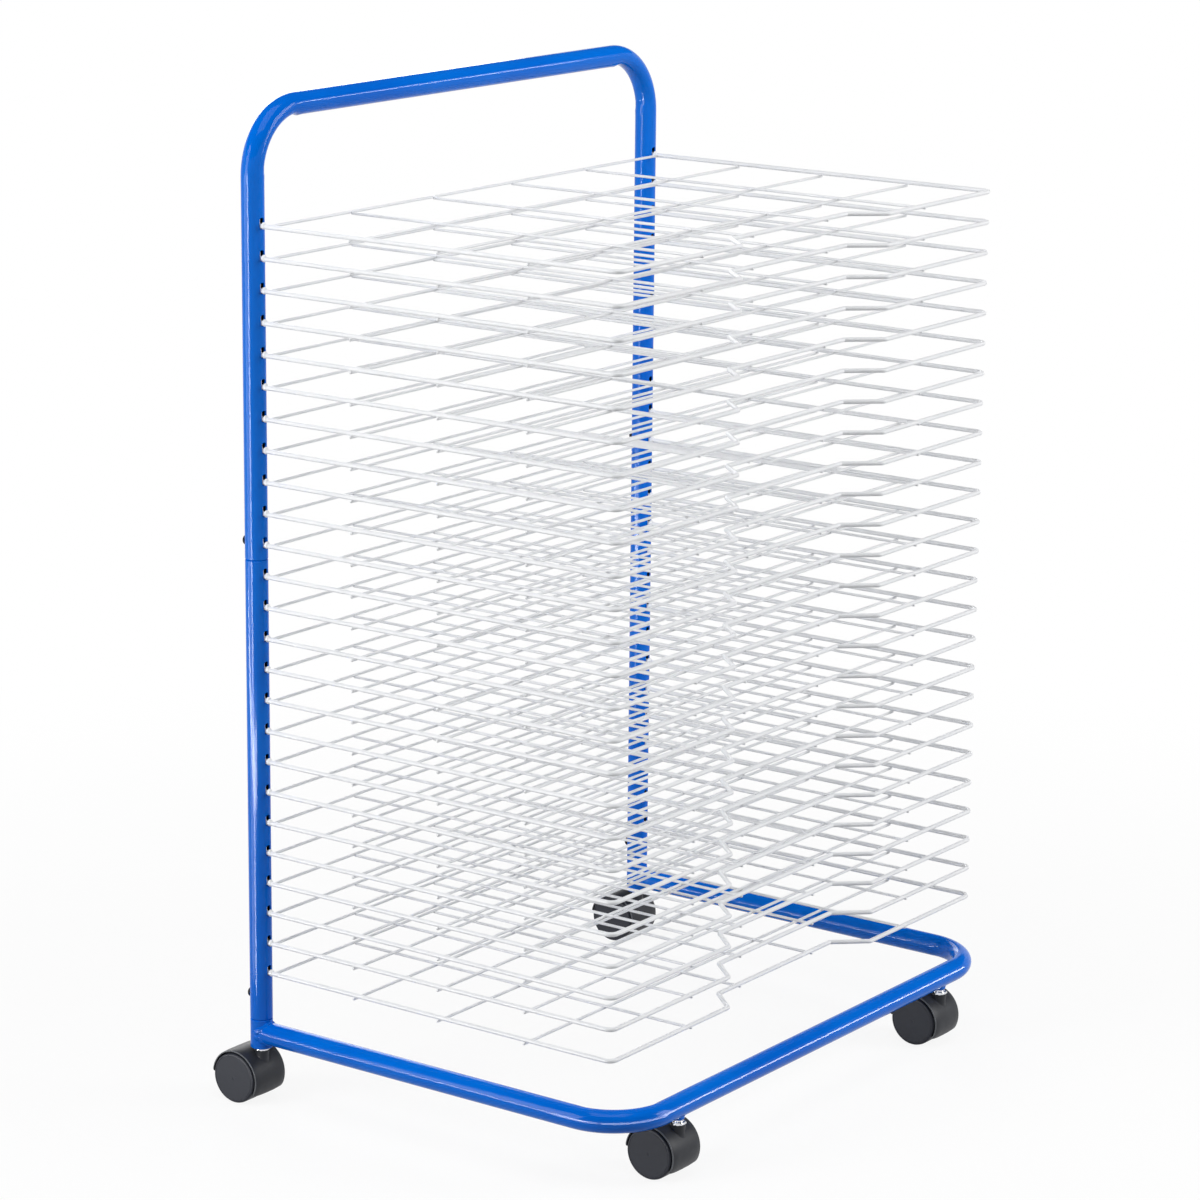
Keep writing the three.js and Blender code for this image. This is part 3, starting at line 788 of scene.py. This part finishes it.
def wheelPiece(caster, hand, side, hub):
    bm = bmesh.new()
    turn = Matrix.Translation(hub) @ Matrix.Rotation(math.radians(90 * side), 4, "Y")
    rings = [ring(wheelShape["steps"], r * mm, x * mm) for r, x in wheelShape["profile"]]
    skin(bm, [[turn @ point for point in points] for points in rings])
    tidyFaces(bm, wheelShape["smooth"])
    name, wheel = f"{caster}_roller_{hand}", f"{caster}_wheel_{hand}"
    showPiece(name, meshFrom(name, bm), "wheel_black", wheel, wheel)


# in mm, heights from the floor; a cut is in from the flange's round and along the stem
stemShape = {"pin": 2.5, "pinFoot": 37.2, "pinEase": 0.5, "flangeFlat": 6.755, "flangeRound": 7.2,
             "flangeFoot": 52.5, "flangeTop": 55.0, "footCut": (0.5, 0.5), "topCut": (0.3, 0.6),
             "neck": 4.8, "neckTop": 57.2, "neckFillet": 0.35, "neckEase": 0.4,
             "thread": 3.5, "threadDepth": 0.45, "threadPitch": 1.25, "threadLead": 0.02, "tipEase": 0.6,
             "top": 68.2, "steps": 48, "smooth": 28}


def pinRows(shape):  # radius and height of each turned step
    pin, foot, ease = shape["pin"], shape["pinFoot"], shape["pinEase"]
    return [(pin - ease, foot), (pin, foot + ease), (pin, shape["flangeFoot"])]


def flangeRows(shape):  # what its corners are cut to, and height
    foot, top, full = shape["flangeFoot"], shape["flangeTop"], shape["flangeRound"]
    (footIn, footUp), (topIn, topDown) = shape["footCut"], shape["topCut"]
    whole = math.inf
    return [(full - footIn, foot), (whole, foot + footUp), (whole, top - topDown), (full - topIn, top)]


def neckRows(shape):
    neck, foot, top = shape["neck"], shape["flangeTop"], shape["neckTop"]
    fillet, ease = shape["neckFillet"], shape["neckEase"]
    return [(neck + fillet, foot), (neck, foot + fillet), (neck, top - ease), (neck - ease, top)]


def threadRows(shape):
    rows = []
    z = shape["neckTop"]
    while z + shape["threadPitch"] < shape["top"]:
        rows.append((shape["thread"] - shape["threadDepth"], z + shape["threadLead"]))
        rows.append((shape["thread"], z + shape["threadPitch"] / 2))
        z += shape["threadPitch"]
    return rows + [(shape["thread"] - shape["tipEase"], shape["top"])]


def stemPiece(caster, foot):
    shape = stemShape
    count = shape["steps"]
    rings = [ring(count, r * mm, z * mm) for r, z in pinRows(shape)]
    rings += [hexRing(count, shape["flangeFlat"] * mm, z * mm, cut * mm) for cut, z in flangeRows(shape)]
    rings += [ring(count, r * mm, z * mm) for r, z in neckRows(shape) + threadRows(shape)]
    bm = bmesh.new()
    skin(bm, [[foot + point for point in points] for points in rings])
    tidyFaces(bm, shape["smooth"])
    name = f"{caster}_collar"
    showPiece(name, meshFrom(name, bm), "stem_chrome", "frame", f"{caster}_stem")


for end in ("rear", "front"):
    for handName in hands:
        casterName = f"caster_{end}_{handName}"
        footPlace, hubPlace = casterPlace(casterName)
        stemPiece(casterName, footPlace)
        hoodPiece(casterName, footPlace, hubPlace)
        for wheelHand, wheelSide in hands.items():
            wheelPiece(casterName, wheelHand, wheelSide, hubPlace)
print("casters dressed: stems, hoods, wheels")


# solids that stay inside keep their shape
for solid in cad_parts.values():
    if solid.hide_render:
        continue
    solid.data.materials.clear()
    solid.data.materials.append(finishes["zinc_steel"])
    for polygon in solid.data.polygons:
        polygon.use_smooth = False
print("inner solids plated")


# studio
studio = {"ambient": 0.06, "floorRadius": 14.0, "wallHeight": 5.0, "rimSteps": 96, "floorGap": 0.2 * mm,
          "shadowNear": 0.55, "shadowFar": 1.6, "shadowShare": 0.11, "paperSeen": 0.95, "paperBounce": 0.42}
fullWhite = (1, 1, 1, 1)


def paintWorld():
    world = bpy.data.worlds.new("dim_studio")
    bpy.context.scene.world = world
    shader = Shader(world)
    light = shader.node("ShaderNodeBackground", None, {"Color": fullWhite, "Strength": studio["ambient"]})
    shader.node("ShaderNodeOutputWorld", None, {"Surface": light})


def paperWhite():  # white to the camera and in mirrors, and near the rack it still takes the shadow
    shader = Shader(bpy.data.materials.new("white_paper"))
    eye, gloss, glass = (shader.node("ShaderNodeLightPath", output=f"Is {kind} Ray")
                         for kind in ("Camera", "Glossy", "Transmission"))
    seen = shader.node("ShaderNodeMath", {"operation": "MINIMUM"}, {0: eye + gloss + glass, 1: 1.0})
    dull, bright = (shader.node("ShaderNodeBsdfDiffuse", None, {"Color": (studio[key],) * 3 + (1,)})
                    for key in ("paperBounce", "paperSeen"))
    matt = shader.node("ShaderNodeMixShader", None, {0: seen, 1: dull, 2: bright})
    white = shader.node("ShaderNodeEmission", None, {"Color": fullWhite, "Strength": 1.0})
    distance = shader.node("ShaderNodeVectorMath", {"operation": "LENGTH"}, {0: shader.place()}, "Value")
    far = shader.steps(distance, studio["shadowNear"], studio["shadowFar"])
    share = seen * (1 - studio["shadowShare"] * (1 - far))
    surface = shader.node("ShaderNodeMixShader", None, {0: share, 1: matt, 2: white})
    shader.node("ShaderNodeOutputMaterial", None, {"Surface": surface})
    return shader.owner


def layPaper():  # a round floor with a low wall
    bm = bmesh.new()
    steps = studio["rimSteps"]
    rims = [ring(steps, studio["floorRadius"], height) for height in (0.0, studio["wallHeight"])]
    skin(bm, rims, caps=False)
    bm.faces.new(bm.verts[:steps])
    mesh = meshFrom("studio_paper", bm)
    mesh.materials.append(paperWhite())
    paper = bpy.data.objects.new("studio_paper", mesh)
    paper.location.z = -studio["floorGap"]
    bpy.context.scene.collection.objects.link(paper)


# in metres; the boxes light the rack, the strips only draw the bright lines along the tubes
uprightTubes = ("hoop_tube", "post_tube_left", "post_tube_right")
lamps = {
    "left_box": {"at": (-3.3, 1.46, 1.6), "aim": (0, 0, 0.5), "size": (1.6, 2.4), "watts": 86},
    "right_box": {"at": (1.9, -3.2, 1.7), "aim": (0, 0, 0.5), "size": (1.6, 2.0), "watts": 100},
    "top_box": {"at": (-0.8, -0.4, 3.4), "aim": (0, 0, 0.4), "size": (2.2, 2.2), "watts": 44},
    "back_box": {"at": (2.4, 2.9, 1.7), "aim": (0, 0, 0.5), "size": (1.6, 2.0), "watts": 38},
    "post_strip": {"at": (-0.62, 0.256, 0.45), "aim": (-0.312, 0.2, 0.45), "size": (0.07, 0.88),
                   "watts": 6.6, "only": uprightTubes},
    "glow_strip": {"at": (-0.59, 0.41, 0.45), "aim": (-0.312, 0.2, 0.45), "size": (0.2, 0.88),
                   "watts": 3.4, "only": uprightTubes},
    "side_strip": {"at": (-1.3, 0.75, 0.05), "aim": (-0.31, 0.75, 0.05), "size": (1.9, 0.1), "watts": 22},
    "front_strip": {"at": (1.45, -1.3, 0.19), "aim": (1.45, -0.24, 0.07), "size": (2.2, 0.24), "watts": 42,
                    "only": ["base_tube"]},
    "bar_strip": {"at": (1.7, -1.3, 1.25), "aim": (-0.08, 0.2, 0.965), "size": (0.6, 0.2), "watts": 9,
                  "only": ["hoop_tube"]},
    "bend_strip_left": {"at": (-0.64, -0.12, 0.055), "aim": (-0.31, -0.15, 0.055), "size": (0.34, 0.1),
                        "watts": 2.3, "only": ["base_tube"]},
    "bend_strip_near": {"at": (-0.52, -0.43, 0.055), "aim": (-0.29, -0.2, 0.055), "size": (0.34, 0.1),
                        "watts": 2.3, "only": ["base_tube"]},
    "bend_strip_front": {"at": (-0.22, -0.57, 0.055), "aim": (-0.27, -0.22, 0.055), "size": (0.4, 0.1),
                         "watts": 2.7, "only": ["base_tube"]},
}


def hangLamps():
    for name, lamp in lamps.items():
        data = bpy.data.lights.new(name, "AREA")
        data.shape = "RECTANGLE"
        data.size, data.size_y = lamp["size"]
        data.energy = lamp["watts"]
        box = bpy.data.objects.new(name, data)
        bpy.context.scene.collection.objects.link(box)
        box.location = lamp["at"]
        way = Vector(lamp["aim"]) - Vector(lamp["at"])
        box.rotation_euler = way.to_track_quat("-Z", "Y").to_euler()
        box.visible_camera = False
        box.visible_diffuse = "strip" not in name
        if "only" in lamp:
            lit = bpy.data.collections.new(f"lit_by_{name}")
            for piece in lamp["only"]:
                lit.objects.link(bpy.data.objects[piece])
            box.light_linking.receiver_collection = lit


# fitted to the photo's view; in metres and degrees, with the sensor in mm
camera = {"at": (-3.24007, -2.32745, 1.45968), "turn": -53.993, "pitch": 13.917, "roll": 0.532,
          "focalPixels": 4204.1, "framePixels": 1200, "sensor": 36.0, "clipEnd": 100}


def setCamera():
    data = bpy.data.cameras.new("photo_camera")
    data.sensor_width = camera["sensor"]
    data.lens = camera["focalPixels"] / camera["framePixels"] * camera["sensor"]
    data.clip_end = camera["clipEnd"]
    eye = bpy.data.objects.new("photo_camera", data)
    bpy.context.scene.collection.objects.link(eye)
    turn, pitch, roll = (math.radians(camera[key]) for key in ("turn", "pitch", "roll"))
    flat = math.cos(pitch)
    ahead = Vector((-math.sin(turn) * flat, math.cos(turn) * flat, -math.sin(pitch)))
    level = Vector((math.cos(turn), math.sin(turn), 0))
    above = level.cross(ahead)
    right = level * math.cos(roll) + above * math.sin(roll)
    up = above * math.cos(roll) - level * math.sin(roll)
    facing = Matrix((right, up, -ahead)).transposed().to_4x4()
    eye.matrix_world = Matrix.Translation(camera["at"]) @ facing
    bpy.context.scene.camera = eye


bpy.context.scene.view_settings.view_transform = "Standard"
paintWorld()
layPaper()
hangLamps()
setCamera()
print("studio set")
